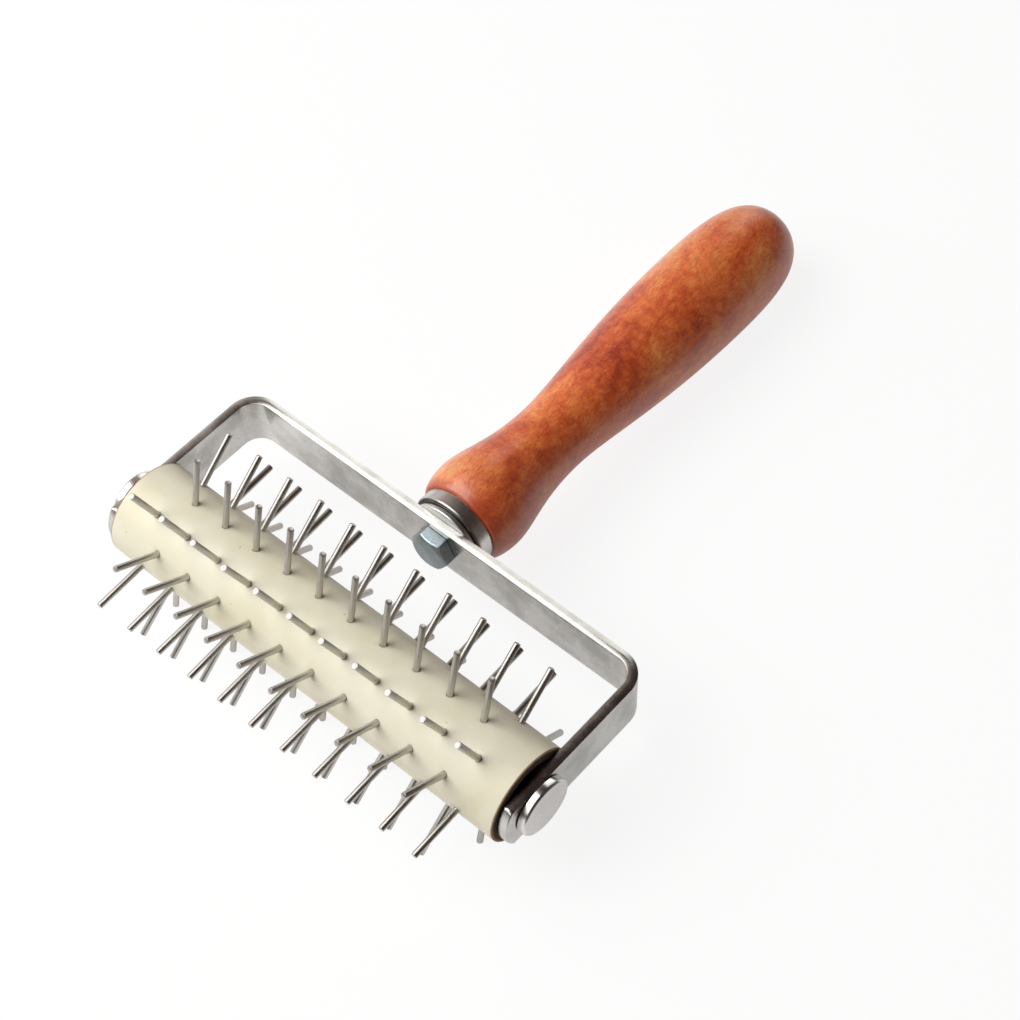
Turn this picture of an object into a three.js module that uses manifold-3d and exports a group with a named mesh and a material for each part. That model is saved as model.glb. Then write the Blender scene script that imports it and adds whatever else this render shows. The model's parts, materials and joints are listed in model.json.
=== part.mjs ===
// A dough docker: a roller set with steel pins turns in a bent steel frame, which is bolted to a turned
// wooden handle. Millimetres, +Z up. The tool lies on a table at z = 0, on its pins and on the belly of
// its handle. X runs along the axle and +Y from the roller towards the handle.

import * as THREE from 'three';
import { mergeGeometries, mergeVertices } from 'three/addons/utils/BufferGeometryUtils.js';
import Module from 'manifold-3d';

// Pins, in rows along the roller. Long and short rows take turns, half a pitch apart.
const rowCount = 10;
const pinsInLongRow = 11;
const pinPitch = 10;
const pinDiameter = 1.6;
const pinLength = 14.2; // showing outside the sleeve
const spineThickness = 1.2; // strip under the sleeve that joins the pins of one row
const spineLip = 0.3; // strip beside the pins

// Roller
const sleeveDiameter = 25;
const sleeveWall = 3;
const sleeveOverhang = 5.5; // sleeve beyond the core, at each end
const coreMargin = 4.6; // core beyond the last pin of a long row
const bushWall = 1.9;
const bushDepth = 9; // bush inside the core
const bushFlangeLip = 2.5; // flange beyond the bush's own wall
const bushFlangeThickness = 1.5;

// Axle
const axleDiameter = 6;
const axleCapDiameter = 15;
const axleCapSocket = 1; // depth of the axle inside a cap
const axleCapFace = 0.85; // metal of a cap in front of the axle's end
const axleCapRounding = 0.5;

// Frame, bent from flat bar
const barThickness = 2.5;
const barWidth = 14.2;
const bendRadius = 5; // inside the bend
const tipClearance = 10; // from the pin tips to the crossbar
const armEndRadius = 11; // round end of an arm, about the axle

// Bolt, washer and ferrule between the frame and the handle
const boltDiameter = 6;
const boltLength = 25;
const boltHeadAcrossFlats = 10;
const boltHeadHeight = 3.6;
const boltHeadTurn = 4; // degrees
const boltHeadChamfer = 0.9;
const washerDiameter = 19;
const washerThickness = 1;
const ferruleDiameter = 21.2;
const ferruleLength = 4;
const ferruleWall = 0.9;
const ferruleRounding = 1.1;
const insertWall = 1.6;
const insertLength = 15;

// Handle. Places are measured from the shoulder that the ferrule meets.
const handleLength = 123.7;
const shoulderLip = 0.4; // wood beyond the ferrule, at the shoulder
const flareDiameter = 26;
const flareAt = 7;
const waistDiameter = 19.1;
const waistAt = 33;
const bellyDiameter = 27.9;
const bellyAt = 94.3;

// How far each curve of the handle runs straight out of and into its ends, as shares of its length.
const flareEase = 0.23;
const waistEaseIn = 0.54;
const waistEaseOut = 0.2;
const bellyEaseIn = 0.53;
const bellyEaseOut = 0.66;
const endFullness = 0.84; // breadth of the round end, as a share of the belly

// Clearances
const seatGap = 0.25; // between pieces that sit on each other
const runningGap = 0.08; // between the axle and the bushes
const endPlay = 0.15; // between a bush and an arm
const sleeveSideGap = 0.3; // between the sleeve and an arm
const boltTipGap = 1; // between the bolt's tip and the bottom of its hole

// Fineness of the round faces
const pinSides = 8;
const roundSides = 24;
const bendSteps = 6;
const edgeSteps = 3; // on the ferrule's rounded edge
const handleSteps = 6; // on each curve of the handle

// Sizes that follow from the ones above. Distances are from the axle's centre.
const rowStep = (2 * Math.PI) / rowCount;
const sleeveSides = 3 * rowCount;
const facetShrink = Math.cos(Math.PI / sleeveSides);
const pinRadius = pinDiameter / 2;
const sleeveRadius = sleeveDiameter / 2;
const sleeveBore = sleeveRadius - sleeveWall;
const pinTipRadius = sleeveRadius + pinLength;
const coreRadius = sleeveBore - seatGap;
const coreHalf = ((pinsInLongRow - 1) * pinPitch) / 2 + coreMargin;
const sleeveHalf = coreHalf + sleeveOverhang;
const spineTop = sleeveBore * facetShrink - seatGap;
const spineBottom = spineTop - spineThickness;
const spineWidth = pinDiameter + 2 * spineLip;
const axleRadius = axleDiameter / 2;
const bushBore = (axleRadius + runningGap) / Math.cos(Math.PI / roundSides);
const bushRadius = bushBore + bushWall;
const armInner = sleeveHalf + sleeveSideGap;
const armOuter = armInner + barThickness;
const crossbarInner = pinTipRadius + tipClearance;
const crossbarOuter = crossbarInner + barThickness;
const boltRadius = boltDiameter / 2;
const washerFront = crossbarOuter + seatGap;
const ferruleFront = washerFront + washerThickness + seatGap;
const ferruleRadius = ferruleDiameter / 2;
const shoulder = ferruleFront + ferruleLength + seatGap;
const tenonFront = ferruleFront + ferruleWall + seatGap;
const insertRadius = boltRadius + seatGap + insertWall;
const boltTip = crossbarInner - seatGap + boltLength;

const wasm = await Module();
wasm.setup();

// A closed solid with the shape of a geometry.
function solidFrom(geometry) {
  const bare = geometry.clone();
  bare.deleteAttribute('normal');
  bare.deleteAttribute('uv');
  const merged = mergeVertices(bare);
  const corners = merged.index.array;
  const kept = [];
  for (let i = 0; i < corners.length; i += 3) {
    const [a, b, c] = corners.slice(i, i + 3);
    if (a !== b && b !== c && c !== a) {
      kept.push(a, b, c);
    }
  }
  return new wasm.Manifold(new wasm.Mesh({
    numProp: 3,
    vertProperties: new Float32Array(merged.attributes.position.array),
    triVerts: new Uint32Array(kept),
  }));
}

function geometryFrom(solid) {
  const { vertProperties, triVerts } = solid.getMesh();
  const geometry = new THREE.BufferGeometry();
  geometry.setAttribute('position', new THREE.BufferAttribute(vertProperties, 3));
  geometry.setIndex(new THREE.BufferAttribute(triVerts, 1));
  geometry.computeVertexNormals();
  return geometry;
}

function joined(first, second) {
  return geometryFrom(solidFrom(first).add(solidFrom(second)));
}

function cut(body, tool) {
  return geometryFrom(solidFrom(body).subtract(solidFrom(tool)));
}

function common(first, second) {
  return geometryFrom(solidFrom(first).intersect(solidFrom(second)));
}

// A turned shape about the Y axis, from [radius, place along the axis] pairs.
function turned(profile, sides = roundSides, start = 0) {
  const points = profile.map(([radius, along]) => new THREE.Vector2(radius, along));
  return new THREE.LatheGeometry(points, sides, start);
}

function alongX(geometry) {
  return geometry.rotateZ(-Math.PI / 2);
}

// A tube about the Y axis.
function tube(inner, outer, from, to, sides = roundSides, start = 0) {
  return turned([[inner, to], [inner, from], [outer, from], [outer, to], [inner, to]], sides, start);
}

function rod(radius, from, to) {
  return turned([[0, from], [radius, from], [radius, to], [0, to]]);
}

// A bar with pin-like sides along Z, at a place along the roller.
function spike(x, radius, from, to) {
  const halfSide = Math.PI / pinSides;
  const geometry = new THREE.CylinderGeometry(radius, radius, to - from, pinSides, 1, false, halfSide);
  geometry.rotateX(Math.PI / 2);
  geometry.translate(x, 0, (from + to) / 2);
  return geometry;
}

function piece(name, geometry, color, roughness, metalness) {
  const mesh = new THREE.Mesh(geometry, new THREE.MeshStandardMaterial({ color, roughness, metalness }));
  mesh.name = name;
  return mesh;
}

const steel = [0xb8b6b2, 0.35, 1];
const zinc = [0x8b9599, 0.4, 1];
const brass = [0xb08d4a, 0.4, 1];
const cream = [0xe4dfc6, 0.45, 0];
const stainedWood = [0xa4512a, 0.4, 0];
const darkWood = [0x4a3526, 0.8, 0];
const nylon = [0x2c2724, 0.5, 0];

// Places of one row's pins along the roller.
function pinPlaces(row) {
  const count = row % 2 === 0 ? pinsInLongRow : pinsInLongRow - 1;
  return Array.from({ length: count }, (_, i) => (i - (count - 1) / 2) * pinPitch);
}

// One row of pins on its strip, pointing along +Z.
function pinRowGeometry(row) {
  const places = pinPlaces(row);
  const length = places.at(-1) - places[0] + spineWidth;
  const spine = new THREE.BoxGeometry(length, spineWidth, spineThickness);
  spine.translate(0, 0, (spineTop + spineBottom) / 2);
  const pins = places.map((x) => spike(x, pinRadius, (spineTop + spineBottom) / 2, pinTipRadius));
  return joined(spine, mergeGeometries(pins));
}

// Plastic tube with a hole for every pin.
function sleeveGeometry() {
  const halfSide = Math.PI / sleeveSides;
  const wall = alongX(tube(sleeveBore, sleeveRadius, -sleeveHalf, sleeveHalf, sleeveSides, halfSide));
  const holes = [];
  for (let row = 0; row < rowCount; row += 1) {
    for (const x of pinPlaces(row)) {
      const hole = spike(x, pinRadius + seatGap, spineTop, sleeveRadius + seatGap);
      holes.push(hole.rotateX(-row * rowStep));
    }
  }
  return cut(wall, mergeGeometries(holes));
}

// Core inside the sleeve, with a groove for every strip and a pocket for each bush.
function coreGeometry() {
  const bore = axleRadius + seatGap;
  const pocket = bushRadius + seatGap;
  const pocketEnd = coreHalf - bushDepth - seatGap;
  const profile = [
    [bore, pocketEnd],
    [bore, -pocketEnd],
    [pocket, -pocketEnd],
    [pocket, -coreHalf],
    [coreRadius, -coreHalf],
    [coreRadius, coreHalf],
    [pocket, coreHalf],
    [pocket, pocketEnd],
    [bore, pocketEnd],
  ];
  const body = alongX(turned(profile, sleeveSides, Math.PI / sleeveSides));
  const grooves = [];
  for (let row = 0; row < rowCount; row += 1) {
    const places = pinPlaces(row);
    const length = places.at(-1) - places[0] + spineWidth + 2 * seatGap;
    const depth = sleeveBore - spineBottom + seatGap;
    const groove = new THREE.BoxGeometry(length, spineWidth + 2 * seatGap, depth);
    groove.translate(0, 0, sleeveBore - depth / 2);
    grooves.push(groove.rotateX(-row * rowStep));
  }
  return cut(body, mergeGeometries(grooves));
}

// Flanged bush at the +X end: in the core, against its end, and out to the arm.
function bushGeometry() {
  const flangeFrom = coreHalf + seatGap;
  const flangeTo = flangeFrom + bushFlangeThickness;
  const tip = armInner - endPlay;
  const flange = bushRadius + bushFlangeLip;
  const profile = [
    [bushBore, tip],
    [bushBore, coreHalf - bushDepth],
    [bushRadius, coreHalf - bushDepth],
    [bushRadius, flangeFrom],
    [flange, flangeFrom],
    [flange, flangeTo],
    [bushRadius, flangeTo],
    [bushRadius, tip],
    [bushBore, tip],
  ];
  return alongX(turned(profile));
}

// Cap at the +X end of the axle, with a blind socket for it.
function axleCapGeometry() {
  const inner = armOuter + seatGap;
  const socket = axleRadius + seatGap;
  const socketEnd = inner + axleCapSocket + seatGap;
  const outer = socketEnd + axleCapFace;
  const radius = axleCapDiameter / 2;
  const profile = [
    [0, socketEnd],
    [socket, socketEnd],
    [socket, inner],
    [radius, inner],
    [radius, outer - axleCapRounding],
    [radius - axleCapRounding, outer],
    [0, outer],
  ];
  return alongX(turned(profile));
}

// Flat bar bent to a U: two arms for the axle and a crossbar for the bolt.
function frameGeometry() {
  const outerRadius = bendRadius + barThickness;
  const bendX = armOuter - outerRadius;
  const bendY = crossbarOuter - outerRadius;
  const outline = new THREE.Shape();
  outline.moveTo(-armOuter, -armEndRadius);
  outline.lineTo(-armOuter, bendY);
  outline.absarc(-bendX, bendY, outerRadius, Math.PI, Math.PI / 2, true);
  outline.lineTo(bendX, crossbarOuter);
  outline.absarc(bendX, bendY, outerRadius, Math.PI / 2, 0, true);
  outline.lineTo(armOuter, -armEndRadius);
  outline.lineTo(armInner, -armEndRadius);
  outline.lineTo(armInner, bendY);
  outline.absarc(bendX, bendY, bendRadius, 0, Math.PI / 2, false);
  outline.lineTo(-bendX, crossbarInner);
  outline.absarc(-bendX, bendY, bendRadius, Math.PI / 2, Math.PI, false);
  outline.lineTo(-armInner, -armEndRadius);
  outline.closePath();
  const settings = { depth: barWidth, bevelEnabled: false, curveSegments: bendSteps };
  const bar = new THREE.ExtrudeGeometry(outline, settings);
  bar.translate(0, 0, -barWidth / 2);

  // The arms end in an arc about the axle.
  const across = 2 * (armOuter + barThickness);
  const beyond = crossbarOuter + barThickness;
  const straight = new THREE.BoxGeometry(across, beyond, 2 * barWidth).translate(0, beyond / 2, 0);
  const roundEnd = alongX(rod(armEndRadius, -across / 2, across / 2));
  const shaped = common(bar, joined(straight, roundEnd));

  const axleHole = alongX(rod(axleRadius + seatGap, -across / 2, across / 2));
  const boltHole = rod(boltRadius + seatGap, crossbarInner - barThickness, beyond);
  return cut(cut(shaped, axleHole), boltHole);
}

// Hexagon bolt through the crossbar into the handle.
function boltGeometry() {
  const seat = crossbarInner - seatGap;
  const top = seat - boltHeadHeight;
  const cornerRadius = boltHeadAcrossFlats / Math.sqrt(3);
  const crownRadius = boltHeadAcrossFlats / 2;
  const hexagon = new THREE.CylinderGeometry(cornerRadius, cornerRadius, boltHeadHeight, 6);
  hexagon.rotateY(Math.PI / 2 + THREE.MathUtils.degToRad(boltHeadTurn));
  hexagon.translate(0, (seat + top) / 2, 0);
  const crown = turned([
    [0, top],
    [crownRadius - boltHeadChamfer / 2, top],
    [cornerRadius, top + boltHeadChamfer],
    [cornerRadius + boltHeadChamfer, seat],
    [0, seat],
  ]);
  return joined(common(hexagon, crown), rod(boltRadius, (seat + top) / 2, boltTip));
}

// Steel cup on the handle's tenon, with a hole for the bolt and a rounded front edge.
function ferruleGeometry() {
  const back = ferruleFront + ferruleLength;
  const inner = ferruleRadius - ferruleWall;
  const hole = boltRadius + seatGap;
  const edge = [];
  for (let i = 0; i <= edgeSteps; i += 1) {
    const angle = (i / edgeSteps) * (Math.PI / 2);
    edge.push([
      ferruleRadius - ferruleRounding * (1 - Math.sin(angle)),
      ferruleFront + ferruleRounding * (1 - Math.cos(angle)),
    ]);
  }
  return turned([
    [inner, back],
    [inner, ferruleFront + ferruleWall],
    [hole, ferruleFront + ferruleWall],
    [hole, ferruleFront],
    ...edge,
    [ferruleRadius, back],
    [inner, back],
  ]);
}

// Outline of the wood that shows, from the shoulder to the end: flare, waist, belly and round end.
function handleOutline() {
  const flare = [flareDiameter / 2, shoulder + flareAt];
  const waist = [waistDiameter / 2, shoulder + waistAt];
  const belly = [bellyDiameter / 2, shoulder + bellyAt];
  const end = [0, shoulder + handleLength];
  const front = [ferruleRadius + shoulderLip, shoulder];
  const leaveFlare = flare[1] + flareEase * (waist[1] - flare[1]);
  const meetWaist = waist[1] - waistEaseIn * (waist[1] - flare[1]);
  const leaveWaist = waist[1] + waistEaseOut * (belly[1] - waist[1]);
  const meetBelly = belly[1] - bellyEaseIn * (belly[1] - waist[1]);
  const leaveBelly = belly[1] + bellyEaseOut * (end[1] - belly[1]);
  const path = new THREE.Path();
  path.moveTo(...front);
  path.bezierCurveTo((front[0] + flare[0]) / 2, front[1], flare[0], flare[1] - flareAt / 2, ...flare);
  path.bezierCurveTo(flare[0], leaveFlare, waist[0], meetWaist, ...waist);
  path.bezierCurveTo(waist[0], leaveWaist, belly[0], meetBelly, ...belly);
  path.bezierCurveTo(belly[0], leaveBelly, endFullness * belly[0], end[1], ...end);
  return path.getPoints(handleSteps).map((point) => [point.x, point.y]);
}

// Turned handle with a tenon in the ferrule and a bore for the threaded insert and the bolt.
function handleGeometry() {
  const tenon = ferruleRadius - ferruleWall - seatGap;
  const bore = insertRadius + seatGap;
  const bottom = Math.max(boltTip, tenonFront + insertLength) + boltTipGap;
  return turned([
    [0, bottom],
    [bore, bottom],
    [bore, tenonFront],
    [tenon, tenonFront],
    [tenon, shoulder],
    ...handleOutline(),
  ]);
}

// The angle by which the frame leans down until the handle touches the table.
function restLean(axleHeight) {
  const leans = handleOutline()
    .filter(([radius, along]) => Math.hypot(radius, along) > axleHeight)
    .map(([radius, along]) => Math.asin(axleHeight / Math.hypot(radius, along)) - Math.atan2(radius, along));
  return Math.min(...leans);
}

const roller = new THREE.Group();
roller.add(piece('roller_sleeve', sleeveGeometry(), ...cream));
roller.add(piece('roller_core', coreGeometry(), ...darkWood));
roller.add(piece('end_bush_right', bushGeometry(), ...nylon));
roller.add(piece('end_bush_left', bushGeometry().rotateZ(Math.PI), ...nylon));
for (let row = 0; row < rowCount; row += 1) {
  const name = `pin_row_${String(row + 1).padStart(2, '0')}`;
  const pinRow = piece(name, pinRowGeometry(row), ...steel);
  pinRow.rotation.x = -row * rowStep;
  roller.add(pinRow);
}

const frame = new THREE.Group();
const axleEnd = armOuter + seatGap + axleCapSocket;
frame.add(piece('frame_bracket', frameGeometry(), ...steel));
frame.add(piece('axle', alongX(rod(axleRadius, -axleEnd, axleEnd)), ...steel));
frame.add(piece('axle_cap_right', axleCapGeometry(), ...steel));
frame.add(piece('axle_cap_left', axleCapGeometry().rotateZ(Math.PI), ...steel));
frame.add(piece('handle_bolt', boltGeometry(), ...zinc));
frame.add(piece(
  'bolt_washer',
  tube(boltRadius + seatGap, washerDiameter / 2, washerFront, washerFront + washerThickness),
  ...steel,
));
frame.add(piece('ferrule', ferruleGeometry(), ...steel));
frame.add(piece(
  'handle_insert',
  tube(boltRadius + seatGap, insertRadius, tenonFront, tenonFront + insertLength),
  ...brass,
));
frame.add(piece('handle', handleGeometry(), ...stainedWood));

// At rest two rows of pins stand on the table, one on each side of the axle, and the handle leans on it.
roller.rotation.x = Math.PI - rowStep / 2;
roller.updateMatrixWorld(true);
const axleHeight = -new THREE.Box3().setFromObject(roller, true).min.z;
frame.rotation.x = -restLean(axleHeight);

const docker = new THREE.Group();
docker.add(frame, roller);
docker.updateMatrixWorld(true);
const box = new THREE.Box3().setFromObject(docker, true);
docker.position.set(0, -(box.min.y + box.max.y) / 2, -box.min.z);

export default docker;
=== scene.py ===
import json
import math
import random

import bmesh
import bpy
from mathutils import Matrix, Vector

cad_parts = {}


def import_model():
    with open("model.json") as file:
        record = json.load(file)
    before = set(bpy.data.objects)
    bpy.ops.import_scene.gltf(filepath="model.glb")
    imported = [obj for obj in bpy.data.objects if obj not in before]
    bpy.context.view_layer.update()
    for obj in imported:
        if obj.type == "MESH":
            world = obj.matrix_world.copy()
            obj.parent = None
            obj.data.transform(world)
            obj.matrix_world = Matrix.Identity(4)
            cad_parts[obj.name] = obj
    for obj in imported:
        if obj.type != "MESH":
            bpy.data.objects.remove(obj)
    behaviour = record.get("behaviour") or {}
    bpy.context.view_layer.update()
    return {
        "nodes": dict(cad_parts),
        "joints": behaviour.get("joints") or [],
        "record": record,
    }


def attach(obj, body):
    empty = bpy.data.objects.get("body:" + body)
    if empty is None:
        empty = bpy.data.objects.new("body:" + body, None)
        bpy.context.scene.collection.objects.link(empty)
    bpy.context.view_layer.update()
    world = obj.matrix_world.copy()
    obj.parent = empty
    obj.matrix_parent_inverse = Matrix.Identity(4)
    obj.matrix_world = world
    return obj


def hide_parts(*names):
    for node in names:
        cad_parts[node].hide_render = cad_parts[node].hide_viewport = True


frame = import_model()

# Sizes in millimetres. Distances are from the axle's centre, unless a comment says otherwise.
MM = 0.001

ROW_COUNT = 10
PINS_IN_LONG_ROW = 11
PIN_PITCH = 10
PIN_RADIUS = 0.8
PIN_TIP = 26.7
PIN_ROOT = 9
PIN_CHAMFER = 0.14
PIN_CHAMFER_STEPS = 2
PIN_SIDES = 20
PIN_LEAN = math.radians(0.7)  # most that a pin stands off its true direction
PIN_SHORTFALL = (0.08, 0.2)  # least and most that a pin is shorter than the full length
PIN_SEED = 7  # of the random draws for both

SLEEVE_RADIUS = 12.5
SLEEVE_BORE = 9.5
SLEEVE_HALF = 60.1
SLEEVE_EDGE = 0.35  # rounding of the sleeve's ends
HOLE_GAP = 0.05  # between a pin and its hole
HOLE_LIP = 0.08  # rounded rim of a hole
HOLE_DEPTH = 1.4
CELL_STEPS = 8  # mesh steps along each side of the patch round a pin
CELL_SHARES = (0.3, 1.0)  # mesh rings of that patch, as shares of the way from the hole's rim to its edge
SHADED_END_START = (0.36, 0.26)  # distances from the sleeve's end between which its skin turns into the painted shade of the cut end
SHADED_BORE_DEPTHS = (0.4, 0.2)  # the same, as depths below the holes' floors
LIT_RIM_DEPTHS = (0.9, 0.12)  # depths below the outer face between which the cut end turns from painted shade to a painted lit tan rim

CORE_HALF = 54.6
CORE_EDGE = 0.3
BUSH_BORE = 3.1
BUSH_RADIUS = 5
BUSH_FLANGE = 7.5
BUSH_FLANGE_THICKNESS = 1.5
BUSH_DEPTH = 9
BUSH_EDGE = 0.3
BUSH_END_PLAY = 0.15

ARM_INNER = 60.4
BAR_THICKNESS = 2.5
BAR_WIDTH = 14.2
BAR_EDGE = 0.12  # rounding between the bar's upper edge and its sides
BAR_BASE_EDGE = 0.2  # the same at its lower edge
CROSSBAR_ROOF = (-0.15, (0.25, 0.40), (0.25, 0.34))  # ridge's offset, slopes inwards and outwards from it
ARM_ROOF = (-0.3, (0.0, 0.12), (0.02, 0.42))  # the same for the arms, which are nearly flat inwards
ROOF_FADE = 8  # length of crossbar beside a bend over which its roof flattens
BAR_SIDE_STEPS = 14
ROOF_STEPS = 8
BEND_RADIUS = 5  # inside the bend
CROSSBAR_INNER = 36.7
ARM_END_RADIUS = 11
ARM_END_EDGE = 0.35
AXLE_RADIUS = 3
CAP_RADIUS = 7.5
CAP_OUTER = 65.25
CAP_EDGE = 0.6
CAP_INNER_EDGE = 0.15
CAP_RING = 6  # radius of a mesh ring that keeps the shading of the flat face even
AXLE_IN_CAP = 1

BOLT_RADIUS = 3
BOLT_LENGTH = 25
BOLT_APOTHEM = 5  # half the distance across the head's flats
BOLT_HEAD = 3.6
BOLT_TURN = math.radians(4)
BOLT_CHAMFER = math.radians(30)
BOLT_CROWN = 4.45  # radius of the flat on the head
BOLT_BROW = (0.15, 0.03)  # width and depth of the worn edge round that flat
BOLT_WEAR = 0.15  # width of the rounding between the head's chamfer and its flats
BOLT_CORNER = 0.08  # by how much the head's corners are worn
BOLT_FOOT = (0.12, 0.08)  # width and height of the bevel under the head
BOLT_POINT = 0.6  # chamfer at the shank's tip
BOLT_SIDES = 120
WASHER_RADIUS = 9.5
WASHER_THICKNESS = 1
WASHER_EDGE = 0.4
FERRULE_RADIUS = 10.6
FERRULE_LENGTH = 4
FERRULE_WALL = 0.9
FERRULE_EDGE = 0.8
FERRULE_RIM = 0.3  # rounding of its open rim
FERRULE_INNER_EDGE = 0.2
FERRULE_STEPS = 8  # mesh steps in each of these roundings
FERRULE_PAINTED_SHADE = (0.15, 0.6)  # distances from its front face between which the painted shade of its recess behind the washer fades

# Handle. Places are measured from its shoulder.
HANDLE_LENGTH = 123.6
SHOULDER_LIP = 0.4
FLARE = (13, 7)
WAIST = (9.55, 33)
BELLY = (13.92, 94.3)
FLARE_EASE = 0.23
WAIST_EASE_IN = 0.54
WAIST_EASE_OUT = 0.2
BELLY_EASE_IN = 0.53
BELLY_EASE_OUT = 0.66
END_FULLNESS = 0.84
INSERT_LENGTH = 15
INSERT_BORE = 5.1
BORE_ROOM = 1  # behind the bolt and the insert
WEAR_AND_SHEEN_FRONT = (3, 14)  # places between which the paler front fades, partly wear and partly a painted highlight
WEAR_AND_SHEEN_LEFT = (-3, 6)  # the same from left to right, counted from the middle, which keeps that painted highlight on the lit left side
DARK_RIM = (0.3, 2.4)  # places between which the dark rim before it fades
HANDLE_STEPS = 40
HANDLE_SIDES = 128

# Patches of paler or darker colour on the handle: middle as counted from the axle, reach, and by how much it
# is paler there.
WOOD_PATCHES = (
    ((-2, 52, 12), 14, 0.07),
    ((0, 77, 10), 12, 0.08),
    ((2, 99, 11), 15, -0.19),
    ((3, 114, 12), 10, 0.06),
    ((5, 132, 13), 11, -0.07),
    ((-6, 150, 11), 24, 0.12),
)

SEAT_GAP = 0.25
TIGHT_GAP = 0.04  # left between faces that are drawn together
ROUND_SIDES = 96
INNER_SIDES = 64
HOLE_SIDES = 48
CORNER_STEPS = 5
ARC_INSET = 0.3  # of a corner's rounding, by which the middle of its arc lies inside it
ARC_MOST = 0.49  # of a side, which an arc at its end may take up
TINY = 1e-6  # lengths up to this count as none

# Degrees. Sharper angles between a piece's faces show as creases.
CREASE = 40
SOFT_CREASE = 50
BAR_CREASE = 20
BOLT_CREASE = 18

# The axle's place and the frame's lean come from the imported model.
AXLE = Vector(frame["joints"][0]["pos_m"])
edge_direction = Vector(frame["record"]["mounts"][0]["axis"])
LEAN = math.atan2(edge_direction.y, edge_direction.z)
ROW_STEP = 2 * math.pi / ROW_COUNT
TOOL = Matrix.Translation(AXLE) @ Matrix.Rotation(-LEAN, 4, "X") @ Matrix.Scale(MM, 4)
ROLLER = Matrix.Translation(AXLE) @ Matrix.Rotation(math.pi - ROW_STEP / 2, 4, "X") @ Matrix.Scale(MM, 4)
ALONG_X = Matrix.Rotation(-math.pi / 2, 4, "Z")

ARM_OUTER = ARM_INNER + BAR_THICKNESS
CROSSBAR_OUTER = CROSSBAR_INNER + BAR_THICKNESS
FERRULE_FRONT = CROSSBAR_OUTER + WASHER_THICKNESS + 2 * SEAT_GAP
FERRULE_BACK = FERRULE_FRONT + FERRULE_LENGTH
SHOULDER = FERRULE_BACK + SEAT_GAP
TENON_FRONT = FERRULE_FRONT + FERRULE_WALL + SEAT_GAP
BOLT_SEAT = CROSSBAR_INNER - TIGHT_GAP
BOLT_TIP = BOLT_SEAT + BOLT_LENGTH


# Mesh helpers

def finish_mesh(name, points, faces, place, crease=CREASE):
    """A smooth mesh object in the row frame, with its creases kept sharp."""
    mesh = bpy.data.meshes.new(name)
    mesh.from_pydata([place @ Vector(point) for point in points], [], faces)
    mesh.validate()
    work = bmesh.new()
    work.from_mesh(mesh)
    bmesh.ops.remove_doubles(work, verts=work.verts, dist=TINY)
    bmesh.ops.recalc_face_normals(work, faces=work.faces)
    work.to_mesh(mesh)
    work.free()
    mesh.shade_smooth()
    mesh.set_sharp_from_angle(angle=math.radians(crease))
    piece = bpy.data.objects.new(name, mesh)
    bpy.context.scene.collection.objects.link(piece)
    return piece


def dress(piece, body, material, slot, *nodes):
    """Gives a piece its material and body, and hides the nodes that it stands for."""
    piece.data.materials.append(material)
    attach(piece, body)
    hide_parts(*nodes)
    return piece


def rounded(corners, steps=CORNER_STEPS):
    """An outline from (radius, place, rounding) corners, with each corner turned into an arc."""
    outline = []
    for i, (radius, along, rounding) in enumerate(corners):
        corner = Vector((radius, along))
        if rounding == 0 or i in (0, len(corners) - 1):
            outline.append(corner)
            continue
        back = Vector(corners[i - 1][:2]) - corner
        ahead = Vector(corners[i + 1][:2]) - corner
        half = back.angle(ahead) / 2
        reach = min(rounding / math.tan(half), ARC_MOST * back.length, ARC_MOST * ahead.length)
        start = corner + back.normalized() * reach
        end = corner + ahead.normalized() * reach
        centre = corner + (back.normalized() + ahead.normalized()).normalized() * reach / math.cos(half)
        for step in range(steps + 1):
            middle = start.lerp(end, step / steps) - centre
            outline.append(centre + middle.normalized() * (start - centre).length)
    return [(point.x, point.y) for point in outline]


def turned(outline, sides=ROUND_SIDES):
    """Points and faces of an outline of (radius, place) pairs, turned about the Y axis."""
    points = []
    rings = []
    for radius, along in outline:
        count = 1 if radius < TINY else sides
        rings.append([len(points) + i for i in range(count)])
        for i in range(count):
            angle = 2 * math.pi * i / sides
            points.append((radius * math.sin(angle), along, radius * math.cos(angle)))
    faces = []
    for first, second in zip(rings, rings[1:]):
        for i in range(sides):
            a, b = first[i % len(first)], first[(i + 1) % len(first)]
            c, d = second[(i + 1) % len(second)], second[i % len(second)]
            corners = list(dict.fromkeys((a, b, c, d)))
            if len(corners) > 2:
                faces.append(corners)
    return points, faces


def bezier(start, first, second, end):
    """Points of a cubic curve, without its start."""
    curve = []
    for step in range(1, HANDLE_STEPS + 1):
        t = step / HANDLE_STEPS
        weights = ((1 - t) ** 3, 3 * t * (1 - t) ** 2, 3 * t * t * (1 - t), t ** 3)
        corners = (start, first, second, end)
        curve.append(tuple(sum(w * c[k] for w, c in zip(weights, corners)) for k in range(2)))
    return curve


# Material helpers

def new_material(name, color, roughness, metallic=0.0):
    material = bpy.data.materials.new(name)
    material.use_nodes = True
    shader = material.node_tree.nodes["Principled BSDF"]
    shader.inputs["Base Color"].default_value = (*color, 1)
    shader.inputs["Roughness"].default_value = roughness
    shader.inputs["Metallic"].default_value = metallic
    return material.node_tree, shader, material


def add(tree, kind, values=(), **settings):
    """A node with its settings, whose inputs are set or linked from name and value pairs."""
    node = tree.nodes.new("ShaderNode" + kind)
    for key, value in settings.items():
        setattr(node, key, value)
    for key, value in dict(values).items():
        socket = node.inputs[key]
        if isinstance(value, bpy.types.NodeSocket):
            tree.links.new(value, socket)
        else:
            socket.default_value = value
    return node


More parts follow.
